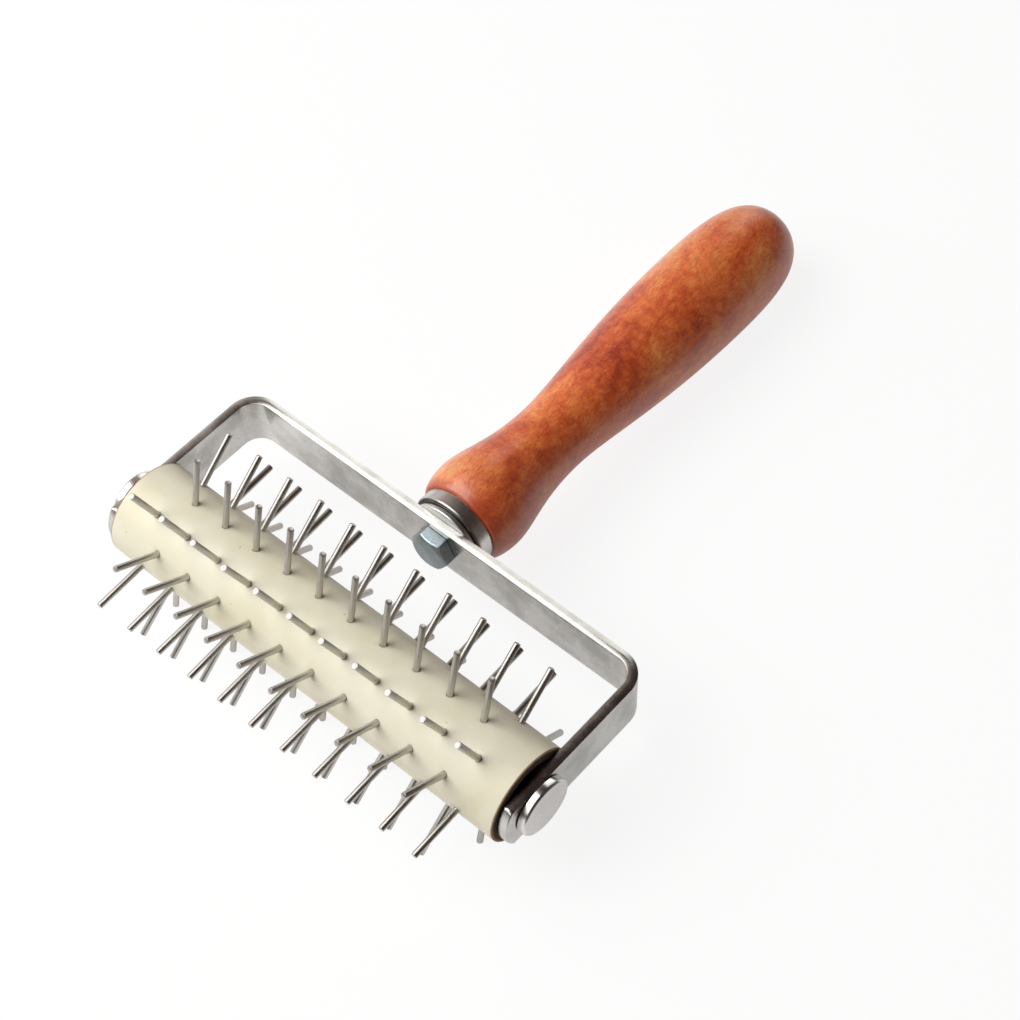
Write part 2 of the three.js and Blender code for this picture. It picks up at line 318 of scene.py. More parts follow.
def tool_coordinates(tree, stretch=(1, 1, 1)):
    """Millimetres along the tool's own axes, counted from the axle's centre."""
    place = add(tree, "TexCoord").outputs["Object"]
    shifted = add(tree, "VectorMath", {0: place, 1: AXLE}, operation="SUBTRACT").outputs[0]
    level = add(tree, "Mapping", {"Vector": shifted, "Rotation": (LEAN, 0, 0)}).outputs[0]
    scale = tuple(s / MM for s in stretch)
    return add(tree, "VectorMath", {0: level, 1: scale}, operation="MULTIPLY").outputs[0]


def noise(tree, place, scale, detail=3.0, roughness=0.5, distortion=0.0):
    values = {
        "Vector": place,
        "Scale": scale,
        "Detail": detail,
        "Roughness": roughness,
        "Distortion": distortion,
    }
    return add(tree, "TexNoise", values).outputs["Fac"]


def ramp(tree, factor, *stops):
    """A colour ramp from (position, colour) stops."""
    node = add(tree, "ValToRGB", {"Fac": factor})
    elements = node.color_ramp.elements
    while len(elements) < len(stops):
        elements.new(0.5)
    for element, (position, color) in zip(elements, stops):
        element.position = position
        element.color = (*color, 1)
    return node.outputs["Color"]


def spread(tree, factor, low, high, to_low=0.0, to_high=1.0):
    """A value stretched from one span to another, smoothly and without passing its ends."""
    values = {"Value": factor, 1: low, 2: high, 3: to_low, 4: to_high}
    return add(tree, "MapRange", values, interpolation_type="SMOOTHSTEP").outputs[0]


def mix(tree, factor, first, second, kind="MIX"):
    """Two colours mixed. The node's sockets for colours come after those for numbers and vectors."""
    node = add(tree, "Mix", data_type="RGBA", blend_type=kind, clamp_factor=True)
    for socket, value in ((node.inputs[0], factor), (node.inputs[6], first), (node.inputs[7], second)):
        if isinstance(value, bpy.types.NodeSocket):
            tree.links.new(value, socket)
        elif isinstance(value, tuple):
            socket.default_value = (*value, 1)
        else:
            socket.default_value = value
    return node.outputs[2]


def math_node(tree, operation, *values):
    return add(tree, "Math", dict(enumerate(values)), operation=operation).outputs[0]


def product(tree, first, *others):
    for other in others:
        first = math_node(tree, "MULTIPLY", first, other)
    return first


def weighted(tree, first, share, second, other_share):
    """The sum of two values, each times its share."""
    return math_node(tree, "ADD", product(tree, first, share), product(tree, second, other_share))


def bump(tree, shader, height, distance, strength=1.0):
    node = add(tree, "Bump", {"Height": height, "Distance": distance, "Strength": strength})
    tree.links.new(node.outputs[0], shader.inputs["Normal"])


# Materials

def steel_material(name, color, dark, roughness, grain, streak=0.05, wave=0.0, recess_shade=None):
    """Steel with faint drawn lines, cloudy patches and slightly wavy faces.

    The grain says how fast the lines change along each axis of the tool. The last argument gives two places
    along the tool between which painted shade fades on a front face, standing for the shade in a recess.
    """
    tree, shader, material = new_material(name, color, roughness, 1.0)
    place = tool_coordinates(tree)
    lines = noise(tree, tool_coordinates(tree, grain), 1.0, 4, 0.6)
    clouds = noise(tree, place, 0.11, 3, 0.55)
    tint = ramp(tree, clouds, (0.37, dark), (0.60, color))
    streaks = spread(tree, lines, 0.3, 0.7, 1 - streak, 1.0)
    surface = mix(tree, 1.0, tint, streaks, "MULTIPLY")
    # Painted shade: a front face is darkened where it sits in the shade of a recess.
    if recess_shade is not None:
        along = add(tree, "SeparateXYZ", {0: place}).outputs[1]
        painted_shade_color = (0.05, 0.045, 0.04)
        surface = mix(tree, spread(tree, along, *recess_shade, 0.85, 0.0), surface, painted_shade_color)
    tree.links.new(surface, shader.inputs["Base Color"])
    uneven = math_node(tree, "ADD", spread(tree, lines, 0.25, 0.75, -0.03, 0.03), roughness)
    smudged = math_node(tree, "ADD", uneven, spread(tree, clouds, 0.3, 0.7, -0.04, 0.05))
    tree.links.new(smudged, shader.inputs["Roughness"])
    waves = noise(tree, place, 0.3, 2, 0.5)
    bump(tree, shader, weighted(tree, lines, 0.03 * streak, waves, wave), MM)
    return material


def wood_material():
    """Reddish stain on mottled wood, under a semi-gloss lacquer.

    The front is paler on its lit left side, partly wear and partly a painted highlight, behind a dark rim.
    """
    dark_red = (0.44, 0.054, 0.016)
    red = (0.72, 0.126, 0.031)
    orange = (0.88, 0.225, 0.056)
    pale = (0.96, 0.415, 0.125)
    # Pale pink of the front, partly wear and partly a painted highlight.
    rubbed_and_sheen = (0.76, 0.42, 0.28)
    fleck = (0.88, 0.40, 0.15)
    tree, shader, material = new_material("handle_wood", red, 0.36)
    place = tool_coordinates(tree)
    patches = noise(tree, tool_coordinates(tree, (0.075, 0.05, 0.075)), 1.0, 3, 0.6, 0.5)
    mottle = noise(tree, place, 0.36, 5, 0.65, 0.6)
    fibres = noise(tree, tool_coordinates(tree, (1.3, 0.4, 1.3)), 1.0, 4, 0.6, 1.2)
    hairs = noise(tree, tool_coordinates(tree, (2.6, 0.8, 2.6)), 1.0, 2, 0.6, 0.8)
    speckle = noise(tree, place, 1.7, 2, 0.6)
    tone = weighted(tree, patches, 0.65, mottle, 0.35)
    for middle, reach, change in WOOD_PATCHES:
        away = add(tree, "VectorMath", {0: place, 1: middle}, operation="DISTANCE").outputs["Value"]
        tone = math_node(tree, "ADD", tone, spread(tree, away, 0, reach, change, 0.0))
    stain = ramp(tree, tone, (0.36, dark_red), (0.46, red), (0.55, orange), (0.67, pale))
    strand = weighted(tree, fibres, 0.55, hairs, 0.45)
    grain = ramp(tree, strand, (0.38, (0.52, 0.38, 0.32)), (0.58, (1.0, 1.0, 1.0)))
    grained = mix(tree, 0.62, stain, grain, "MULTIPLY")
    across, along = add(tree, "SeparateXYZ", {0: place}).outputs[:2]
    behind = math_node(tree, "SUBTRACT", along, SHOULDER)
    # Painted highlight: the front is made paler on its lit left side, partly wear and partly painted sheen.
    front = spread(tree, behind, *WEAR_AND_SHEEN_FRONT, 0.4, 0.0)
    left = spread(tree, across, *WEAR_AND_SHEEN_LEFT, 1.0, 0.0)
    worn = product(tree, front, spread(tree, fibres, 0.3, 0.75), left)
    grained = mix(tree, worn, grained, rubbed_and_sheen)
    grained = mix(tree, spread(tree, behind, *DARK_RIM, 0.6, 0.0), grained, dark_red)
    flecks = spread(tree, speckle, 0.62, 0.76, 0.0, 0.45)
    tree.links.new(mix(tree, flecks, grained, fleck), shader.inputs["Base Color"])
    tree.links.new(spread(tree, mottle, 0.3, 0.7, 0.44, 0.54), shader.inputs["Roughness"])
    shader.inputs["Specular IOR Level"].default_value = 0.35
    shader.inputs["Coat Weight"].default_value = 0.9
    shader.inputs["Coat Roughness"].default_value = 0.27
    bump(tree, shader, weighted(tree, strand, 0.6, speckle, 0.4), 0.05 * MM, 0.6)
    return material


def sleeve_material():
    """Ivory plastic, whose cut ends and bore are painted dark brown as painted shade, with a painted lit tan
    rim beside the outer face.
    """
    ivory = (0.815, 0.780, 0.605)
    yellow = (0.765, 0.725, 0.515)
    pale = (0.845, 0.815, 0.655)
    speck = (0.34, 0.28, 0.17)
    # Painted shade for the cut ends and the bore, then the painted lit tan of the rim beside the outer face.
    brown = (0.07, 0.044, 0.031)
    dark_tan = (0.32, 0.20, 0.12)
    pale_tan = (0.52, 0.36, 0.23)
    tree, shader, material = new_material("sleeve_plastic", ivory, 0.42)
    place = tool_coordinates(tree)
    clouds = noise(tree, place, 0.07, 3, 0.5, 0.5)
    skin = ramp(tree, clouds, (0.3, yellow), (0.5, ivory), (0.7, pale))
    specks = noise(tree, place, 0.55, 1, 0.4)
    skin = mix(tree, spread(tree, specks, 0.80, 0.82, 0.0, 0.4), skin, speck)

    # Painted shade and light: the cut ends and the bore turn dark brown, with a lit tan rim beside the outer
    # face.
    fibre = noise(tree, place, 0.9, 3, 0.6)
    along = math_node(tree, "ABSOLUTE", add(tree, "SeparateXYZ", {0: place}).outputs[0])
    ragged = math_node(tree, "ADD", along, spread(tree, fibre, 0.3, 0.7, -0.05, 0.05))
    at_end = spread(tree, ragged, *(SLEEVE_HALF - reach for reach in SHADED_END_START))
    across = add(tree, "VectorMath", {0: place, 1: (0, 1, 1)}, operation="MULTIPLY").outputs[0]
    radius = add(tree, "VectorMath", {0: across}, operation="LENGTH").outputs["Value"]
    inside = spread(tree, radius, *(SLEEVE_RADIUS - HOLE_DEPTH - reach for reach in SHADED_BORE_DEPTHS), 1.0, 0.0)
    tan = ramp(tree, fibre, (0.3, dark_tan), (0.7, pale_tan))
    depth = spread(tree, radius, *(SLEEVE_RADIUS - reach for reach in LIT_RIM_DEPTHS), 1.0, 0.0)
    cut = mix(tree, depth, tan, brown)
    shaded_ends = math_node(tree, "MAXIMUM", at_end, inside)
    tree.links.new(mix(tree, shaded_ends, skin, cut), shader.inputs["Base Color"])
    satin = spread(tree, clouds, 0.3, 0.7, 0.38, 0.46)
    tree.links.new(math_node(tree, "MAXIMUM", satin, product(tree, shaded_ends, 0.85)), shader.inputs["Roughness"])
    peel = noise(tree, place, 1.3, 2, 0.5)
    bump(tree, shader, peel, 0.015 * MM, 0.5)
    return material


def core_material():
    tree, shader, material = new_material("core_wood", (0.07, 0.042, 0.026), 0.8)
    rings = noise(tree, tool_coordinates(tree, (0.05, 0.9, 0.9)), 1.0, 4, 0.6)
    tone = ramp(tree, rings, (0.3, (0.035, 0.02, 0.012)), (0.7, (0.1, 0.062, 0.038)))
    tree.links.new(tone, shader.inputs["Base Color"])
    bump(tree, shader, rings, 0.15 * MM)
    return material


def nylon_material():
    tree, shader, material = new_material("bush_nylon", (0.024, 0.021, 0.019), 0.5)
    scuffs = noise(tree, tool_coordinates(tree, (2.5, 0.6, 0.6)), 1.0, 4, 0.6)
    tone = ramp(tree, scuffs, (0.35, (0.017, 0.015, 0.014)), (0.7, (0.04, 0.036, 0.033)))
    tree.links.new(tone, shader.inputs["Base Color"])
    tree.links.new(spread(tree, scuffs, 0.3, 0.7, 0.42, 0.62), shader.inputs["Roughness"])
    bump(tree, shader, scuffs, 0.03 * MM)
    return material


frame_steel = steel_material(
    "frame_steel", (0.71, 0.70, 0.675), (0.50, 0.49, 0.47), 0.26, grain=(0.5, 0.5, 3.0), wave=0.004
)
cap_steel = steel_material(
    "cap_steel", (0.86, 0.84, 0.825), (0.78, 0.76, 0.75), 0.25, grain=(0.4, 1.2, 1.2), wave=0.01
)
pin_steel = steel_material(
    "pin_steel", (0.585, 0.567, 0.53), (0.52, 0.50, 0.465), 0.33, grain=(1.5, 0.5, 0.5)
)
# The ferrule's front face gets painted shade where the washer shades its recess.
ferrule_steel = steel_material(
    "ferrule_steel", (0.78, 0.76, 0.73), (0.68, 0.66, 0.63), 0.3, grain=(0.3, 4.0, 0.3), wave=0.006,
    recess_shade=[FERRULE_FRONT + depth for depth in FERRULE_PAINTED_SHADE]
)
zinc_steel = steel_material(
    "zinc_steel", (0.50, 0.56, 0.59), (0.35, 0.41, 0.44), 0.46, grain=(1.4, 1.4, 1.4), streak=0.25, wave=0.015
)
washer_steel = steel_material(
    "washer_steel", (0.92, 0.92, 0.90), (0.84, 0.84, 0.82), 0.34, grain=(1, 4, 1), wave=0.004
)
brass = steel_material(
    "insert_brass", (0.60, 0.42, 0.15), (0.45, 0.30, 0.10), 0.32, grain=(0.6, 4.0, 0.6), streak=0.2, wave=0.02
)
handle_wood = wood_material()
sleeve_plastic = sleeve_material()
core_wood = core_material()
bush_nylon = nylon_material()


# Roller

def pin_places(row):
    count = PINS_IN_LONG_ROW if row % 2 == 0 else PINS_IN_LONG_ROW - 1
    return [(i - (count - 1) / 2) * PIN_PITCH for i in range(count)]


def make_pin_row(row, draws):
    """One row of blunt pins, each a little off its true direction."""
    outline = rounded([
        (0, PIN_ROOT, 0),
        (PIN_RADIUS, PIN_ROOT, 0),
        (PIN_RADIUS, PIN_TIP, PIN_CHAMFER),
        (0, PIN_TIP, 0),
    ], PIN_CHAMFER_STEPS)
    pin_points, pin_faces = turned(outline, PIN_SIDES)
    upright = Matrix.Rotation(math.pi / 2, 4, "X")
    pivot = Matrix.Translation((0, 0, SLEEVE_RADIUS))
    points = []
    faces = []
    for x in pin_places(row):
        lean_x = Matrix.Rotation(draws.uniform(-PIN_LEAN, PIN_LEAN), 4, "X")
        lean_y = Matrix.Rotation(draws.uniform(-PIN_LEAN, PIN_LEAN), 4, "Y")
        sink = Matrix.Translation((x, 0, -draws.uniform(*PIN_SHORTFALL)))
        place = sink @ pivot @ lean_x @ lean_y @ pivot.inverted() @ upright
        faces += [[corner + len(points) for corner in face] for face in pin_faces]
        points += [place @ Vector(point) for point in pin_points]
    turn = Matrix.Rotation(-row * ROW_STEP, 4, "X")
    piece = finish_mesh(f"pins_{row + 1:02d}", points, faces, ROLLER @ turn)
    return dress(piece, "roller", pin_steel, "pin_steel", f"pin_row_{row + 1:02d}")


def on_sleeve(x, angle, radius):
    return (x, radius * math.sin(angle), radius * math.cos(angle))


def pin_patch(x, angle, points, faces):
    """The sleeve's outer face round one pin: a rounded rim, the hole's wall and its floor."""
    hole = PIN_RADIUS + HOLE_GAP
    inset = ARC_INSET * HOLE_LIP
    count = 4 * CELL_STEPS
    turns = [2 * math.pi * i / count - 3 * math.pi / 4 for i in range(count)]
    rings = [
        (hole, SLEEVE_RADIUS - HOLE_DEPTH),
        (hole, SLEEVE_RADIUS - HOLE_LIP),
        (hole + inset, SLEEVE_RADIUS - inset),
        (hole + HOLE_LIP, SLEEVE_RADIUS),
    ]
    start = len(points)
    for reach, radius in rings:
        for turn in turns:
            rim_x, rim_angle = reach * math.cos(turn), reach * math.sin(turn) / radius
            points.append(on_sleeve(x + rim_x, angle + rim_angle, radius))
    corners = ((-1, -1), (1, -1), (1, 1), (-1, 1))
    for share in CELL_SHARES:
        for i, turn in enumerate(turns):
            side, step = divmod(i, CELL_STEPS)
            here, following = corners[side], corners[(side + 1) % 4]
            t = step / CELL_STEPS
            edge_x = (here[0] + (following[0] - here[0]) * t) * PIN_PITCH / 2
            edge_angle = (here[1] + (following[1] - here[1]) * t) * ROW_STEP / 2
            rim = hole + HOLE_LIP
            rim_x, rim_angle = rim * math.cos(turn), rim * math.sin(turn) / SLEEVE_RADIUS
            offset_x = rim_x + (edge_x - rim_x) * share
            offset_angle = rim_angle + (edge_angle - rim_angle) * share
            points.append(on_sleeve(x + offset_x, angle + offset_angle, SLEEVE_RADIUS))
    for ring in range(len(rings) + 1):
        for i in range(count):
            a = start + ring * count + i
            b = start + ring * count + (i + 1) % count
            faces.append([a, b, b + count, a + count])
    faces.append([start + i for i in range(count)])


def end_strip(row, sign, points, faces):
    """The sleeve's outer face between a row's last pin patch and the end."""
    last = pin_places(row)[-1] + PIN_PITCH / 2
    long_row_end = PINS_IN_LONG_ROW * PIN_PITCH / 2
    steps = round((long_row_end - last) / PIN_PITCH * CELL_STEPS)
    columns = [last + i * PIN_PITCH / CELL_STEPS for i in range(steps)]
    columns += [long_row_end, SLEEVE_HALF - SLEEVE_EDGE]
    start = len(points)
    for x in columns:
        for i in range(CELL_STEPS + 1):
            angle = row * ROW_STEP + (i / CELL_STEPS - 0.5) * ROW_STEP
            points.append(on_sleeve(sign * x, angle, SLEEVE_RADIUS))
    width = CELL_STEPS + 1
    for column in range(len(columns) - 1):
        for i in range(CELL_STEPS):
            a = start + column * width + i
            faces.append([a, a + 1, a + width + 1, a + width])


def make_sleeve():
    """Tube with a rimmed hole for every pin, rounded ends and an open bore."""
    points = []
    faces = []
    for row in range(ROW_COUNT):
        for x in pin_places(row):
            pin_patch(x, row * ROW_STEP, points, faces)
        for sign in (-1, 1):
            end_strip(row, sign, points, faces)
    flat = SLEEVE_HALF - SLEEVE_EDGE
    outline = rounded([
        (SLEEVE_RADIUS, flat, 0),
        (SLEEVE_RADIUS, SLEEVE_HALF, SLEEVE_EDGE),
        (SLEEVE_BORE, SLEEVE_HALF, SLEEVE_EDGE),
        (SLEEVE_BORE, 0, 0),
        (SLEEVE_BORE, -SLEEVE_HALF, SLEEVE_EDGE),
        (SLEEVE_RADIUS, -SLEEVE_HALF, SLEEVE_EDGE),
        (SLEEVE_RADIUS, -flat, 0),
    ])
    ring = ROW_COUNT * CELL_STEPS
    start = len(points)
    for radius, x in outline:
        for i in range(ring):
            points.append(on_sleeve(x, (i / CELL_STEPS - 0.5) * ROW_STEP, radius))
    for level in range(len(outline) - 1):
        for i in range(ring):
            a = start + level * ring + i
            b = start + level * ring + (i + 1) % ring
            faces.append([a, b, b + ring, a + ring])
    piece = finish_mesh("sleeve", points, faces, ROLLER, SOFT_CREASE)
    return dress(piece, "roller", sleeve_plastic, "sleeve_plastic", "roller_sleeve")


def make_core():
    radius = SLEEVE_BORE - SEAT_GAP
    pocket = BUSH_RADIUS + SEAT_GAP
    floor = CORE_HALF - BUSH_DEPTH - SEAT_GAP
    bore = AXLE_RADIUS + SEAT_GAP
    outline = rounded([
        (bore, 0, 0),
        (bore, floor, 0),
        (pocket, floor, 0),
        (pocket, CORE_HALF, CORE_EDGE),
        (radius, CORE_HALF, CORE_EDGE),
        (radius, -CORE_HALF, CORE_EDGE),
        (pocket, -CORE_HALF, CORE_EDGE),
        (pocket, -floor, 0),
        (bore, -floor, 0),
        (bore, 0, 0),
    ])
    points, faces = turned(outline, INNER_SIDES)
    piece = finish_mesh("core", points, faces, ROLLER @ ALONG_X)
    return dress(piece, "roller", core_wood, "core_wood", "roller_core")


def make_bush(side, sign):
    seat = CORE_HALF + SEAT_GAP
    flange = seat + BUSH_FLANGE_THICKNESS
    tip = ARM_INNER - BUSH_END_PLAY
    inner = CORE_HALF - BUSH_DEPTH
    outline = rounded([
        (BUSH_BORE, (inner + tip) / 2, 0),
        (BUSH_BORE, inner, BUSH_EDGE),
        (BUSH_RADIUS, inner, BUSH_EDGE),
        (BUSH_RADIUS, seat, 0),
        (BUSH_FLANGE, seat, BUSH_EDGE),
        (BUSH_FLANGE, flange, BUSH_EDGE),
        (BUSH_RADIUS, flange, BUSH_EDGE),
        (BUSH_RADIUS, tip, BUSH_EDGE),
        (BUSH_BORE, tip, BUSH_EDGE),
        (BUSH_BORE, (inner + tip) / 2, 0),
    ])
    points, faces = turned(outline, INNER_SIDES)
    turn = Matrix.Rotation(0 if sign > 0 else math.pi, 4, "Z")
    piece = finish_mesh(f"bush_{side}", points, faces, ROLLER @ turn @ ALONG_X)
    return dress(piece, "roller", bush_nylon, "bush_nylon", f"end_bush_{side}")


# Frame

def slope_down(length, slopes):
    """Distances and falls along a curve whose slope changes evenly from its start to its end."""
    curve = []
    for step in range(1, ROOF_STEPS + 1):
        distance = length * step / ROOF_STEPS
        bend = (slopes[1] - slopes[0]) * distance * distance / (2 * length)
        curve.append((distance, slopes[0] * distance + bend))
    return curve


def bar_section(ridge, inner_slopes, outer_slopes):
    """The bar's section as (offset, height) pairs, and the count of those on each side and on the roof.

    The pairs run up the outer side, over the roof-shaped upper edge, down the inner side and along the base.
    """
    half = BAR_THICKNESS / 2
    top = BAR_WIDTH / 2
    outwards = slope_down(half - BAR_EDGE - ridge, outer_slopes)
    inwards = slope_down(half - BAR_EDGE + ridge, inner_slopes)
    roof = [(ridge + distance, top - fall) for distance, fall in reversed(outwards)]
    roof.append((ridge, top))
    roof += [(ridge - distance, top - fall) for distance, fall in inwards]
    corner = ARC_INSET * BAR_EDGE
    roof.insert(0, (half - corner, roof[0][1] - corner))
    roof.append((corner - half, roof[-1][1] - corner))
    base = rounded([
        (-half, 0, 0),
        (-half, -top, BAR_BASE_EDGE),
        (half, -top, BAR_BASE_EDGE),
        (half, 0, 0),
    ])[1:-1]
    outer_rise = roof[0][1] - BAR_EDGE - base[-1][1]
    inner_rise = roof[-1][1] - BAR_EDGE - base[0][1]
    shares = [i / BAR_SIDE_STEPS for i in range(1, BAR_SIDE_STEPS + 1)]
    outer = [(half, base[-1][1] + outer_rise * share) for share in shares]
    inner = [(-half, base[0][1] + inner_rise * share) for share in reversed(shares)]
    return outer + roof + inner + base, len(shares), len(roof)


def bar_stations():
    """Places along the bent bar.

    Each has x, y, the outward normal, the share of the way to the arm's end, the setback and inset of the
    end's rounding, and how far the upper edge is that of the crossbar.
    """
    outer = BEND_RADIUS + BAR_THICKNESS
    middle = BEND_RADIUS + BAR_THICKNESS / 2
    bend_x = ARM_OUTER - outer
    bend_y = CROSSBAR_OUTER - outer
    arm_x = bend_x + middle
    arm_steps = 12
    bend_steps = 20
    across_steps = 12
    right = []
    for step in range(CORNER_STEPS + 1):
        angle = math.pi / 2 * step / CORNER_STEPS
        setback = ARM_END_EDGE * (1 - math.cos(angle))
        inset = ARM_END_EDGE * (1 - math.sin(angle))
        right.append((arm_x, bend_y, (1, 0), 1, setback, inset, 0))
    for step in range(1, arm_steps):
        right.append((arm_x, bend_y, (1, 0), 1 - step / arm_steps, ARM_END_EDGE, 0, 0))
    fade = middle * math.pi / 2 + ROOF_FADE
    for step in range(bend_steps + 1):
        angle = math.pi / 2 * step / bend_steps
        normal = (math.cos(angle), math.sin(angle))
        x, y = bend_x + middle * normal[0], bend_y + middle * normal[1]
        right.append((x, y, normal, 0, 0, 0, middle * angle / fade))
    for step in range(1, across_steps + 1):
        gone = bend_x * step / across_steps
        slant = min(1, (fade - ROOF_FADE + gone) / fade)
        right.append((bend_x - gone, bend_y + middle, (0, 1), 0, 0, 0, slant))
    left = [(-x, y, (-normal[0], normal[1]), *rest) for x, y, normal, *rest in right[:-1]]
    return right + left[::-1]


def make_bar():
    """The bent flat bar: roof-shaped upper edges, arms that end in an arc about the axle, and its holes."""
    across, side, roof = bar_section(*CROSSBAR_ROOF)
    arm, side, roof = bar_section(*ARM_ROOF)
    count = len(arm)
    points = []
    for x, y, normal, share, setback, inset, slant in bar_stations():
        for on_arm, on_crossbar in zip(arm, across):
            offset, height = Vector(on_arm).lerp(Vector(on_crossbar), slant)
            n = offset * (1 - 2 * inset / BAR_THICKNESS)
            z = height * (1 - 2 * inset / BAR_WIDTH)
            end = setback - math.sqrt(ARM_END_RADIUS ** 2 - z ** 2)
            points.append((x + n * normal[0], y + (end - y) * share + n * normal[1], z))
    faces = []
    stations = len(points) // count
    for station in range(stations - 1):
        for i in range(count):
            a = station * count + i
            b = station * count + (i + 1) % count
            faces.append([a, b, b + count, a + count])
    inner_end = 2 * side + roof - 1
    for first in (0, (stations - 1) * count):
        for i in range(side - 1):
            faces.append([first + c for c in (i, i + 1, inner_end - i - 1, inner_end - i)])
        faces.append([first + c for c in range(side - 1, side + roof + 1)])
        faces.append([first + c for c in (*range(inner_end, count), 0)])
    piece = finish_mesh("bar", points, faces, TOOL, BAR_CREASE)
    drill(piece, AXLE_RADIUS + SEAT_GAP, -2 * ARM_OUTER, 2 * ARM_OUTER, TOOL @ ALONG_X)
    drill(piece, BOLT_RADIUS + SEAT_GAP, BOLT_SEAT - BOLT_HEAD, BOLT_TIP, TOOL)
    return dress(piece, "frame", frame_steel, "frame_steel", "frame_bracket")


def drill(piece, radius, start, end, place):
    """Cuts a round hole along the Y axis of a place."""
    points, faces = turned([(0, start), (radius, start), (radius, end), (0, end)], HOLE_SIDES)
    rod = finish_mesh("drill", points, faces, place)
    cutter = piece.modifiers.new("hole", "BOOLEAN")
    cutter.object = rod
    cutter.operation = "DIFFERENCE"
    cutter.solver = "EXACT"
    bpy.context.view_layer.update()
    shaped = piece.evaluated_get(bpy.context.evaluated_depsgraph_get())
    mesh = bpy.data.meshes.new_from_object(shaped)
    piece.modifiers.clear()
    piece.data = mesh
    mesh.shade_smooth()
    mesh.set_sharp_from_angle(angle=math.radians(BAR_CREASE))
    bpy.data.objects.remove(rod)


def make_cap(side, sign):
    """Round head on the axle's end, with a blind socket."""
    inner = ARM_OUTER + SEAT_GAP
    socket = AXLE_RADIUS + SEAT_GAP
    floor = inner + AXLE_IN_CAP + SEAT_GAP
    outline = rounded([
        (0, floor, 0),
        (socket, floor, 0),
        (socket, inner, 0),
        (CAP_RADIUS, inner, CAP_INNER_EDGE),
        (CAP_RADIUS, CAP_OUTER, CAP_EDGE),
        (CAP_RING, CAP_OUTER, 0),
        (0, CAP_OUTER, 0),
    ])
    points, faces = turned(outline)
    turn = Matrix.Rotation(0 if sign > 0 else math.pi, 4, "Z")
    piece = finish_mesh(f"cap_{side}", points, faces, TOOL @ turn @ ALONG_X)
    return dress(piece, "frame", cap_steel, "frame_steel", f"axle_cap_{side}")


def make_bolt():
    """Hexagon bolt: a crowned head with worn corners, and its shank."""
    top = BOLT_SEAT - BOLT_HEAD
    slope = math.tan(BOLT_CHAMFER)
    corner = BOLT_APOTHEM / math.cos(math.pi / 6) - BOLT_CORNER
    brow, brow_depth = BOLT_BROW
    bevel, bevel_height = BOLT_FOOT
    ring_kinds = ("crown", "brow", "slope", "edge", "foot", "under", "neck", "shank", "tip")
    points = [(0, top, 0)]
    for kind in ring_kinds:
        for i in range(BOLT_SIDES):
            angle = 2 * math.pi * i / BOLT_SIDES
            from_flat = (angle + math.pi / 6) % (math.pi / 3) - math.pi / 6
            hexagon = min(BOLT_APOTHEM / math.cos(from_flat), corner)
            drop = top + brow_depth + (hexagon - BOLT_WEAR - BOLT_CROWN) * slope
            radius, along = {
                "crown": (BOLT_CROWN - brow, top),
                "brow": (BOLT_CROWN, top + brow_depth),
                "slope": (hexagon - BOLT_WEAR, drop),
                "edge": (hexagon, drop + 2 * BOLT_WEAR),
                "foot": (hexagon, BOLT_SEAT - bevel_height),
                "under": (hexagon - bevel, BOLT_SEAT),
                "neck": (BOLT_RADIUS, BOLT_SEAT),
                "shank": (BOLT_RADIUS, BOLT_TIP - BOLT_POINT),
                "tip": (BOLT_RADIUS - BOLT_POINT, BOLT_TIP),
            }[kind]
            turn = angle + BOLT_TURN
            points.append((radius * math.sin(turn), along, radius * math.cos(turn)))
    faces = [[0, 1 + i, 1 + (i + 1) % BOLT_SIDES] for i in range(BOLT_SIDES)]
    for ring in range(len(ring_kinds) - 1):
        for i in range(BOLT_SIDES):
            a = 1 + ring * BOLT_SIDES + i
            b = 1 + ring * BOLT_SIDES + (i + 1) % BOLT_SIDES
            faces.append([a, b, b + BOLT_SIDES, a + BOLT_SIDES])
    last = 1 + (len(ring_kinds) - 1) * BOLT_SIDES
    faces.append([last + i for i in range(BOLT_SIDES)])
    piece = finish_mesh("bolt", points, faces, TOOL, BOLT_CREASE)
    return dress(piece, "frame", zinc_steel, "zinc_steel", "handle_bolt")


def make_washer():
    hole = BOLT_RADIUS + SEAT_GAP
    front = CROSSBAR_OUTER + TIGHT_GAP
    back = FERRULE_FRONT - TIGHT_GAP
    middle = (front + back) / 2
    outline = rounded([
        (hole, middle, 0),
        (hole, front, WASHER_EDGE),
        (WASHER_RADIUS, front, WASHER_EDGE),
        (WASHER_RADIUS, back, WASHER_EDGE),
        (hole, back, WASHER_EDGE),
        (hole, middle, 0),
    ])
    points, faces = turned(outline)
    piece = finish_mesh("washer", points, faces, TOOL)
    return dress(piece, "frame", washer_steel, "zinc_steel", "bolt_washer")


def make_ferrule():
    """Steel cup with a rounded front edge and a rolled rim."""
    inner = FERRULE_RADIUS - FERRULE_WALL
    hole = BOLT_RADIUS + SEAT_GAP
    floor = FERRULE_FRONT + FERRULE_WALL
    outline = rounded([
        (hole, (FERRULE_FRONT + floor) / 2, 0),
        (hole, FERRULE_FRONT, FERRULE_INNER_EDGE),
        (FERRULE_RADIUS, FERRULE_FRONT, FERRULE_EDGE),
        (FERRULE_RADIUS, FERRULE_BACK, FERRULE_RIM),
        (inner, FERRULE_BACK, FERRULE_RIM),
        (inner, floor, FERRULE_INNER_EDGE),
        (hole, floor, FERRULE_INNER_EDGE),
        (hole, (FERRULE_FRONT + floor) / 2, 0),
    ], FERRULE_STEPS)
    points, faces = turned(outline)
    piece = finish_mesh("ferrule_cup", points, faces, TOOL)
    return dress(piece, "frame", ferrule_steel, "ferrule_steel", "ferrule")


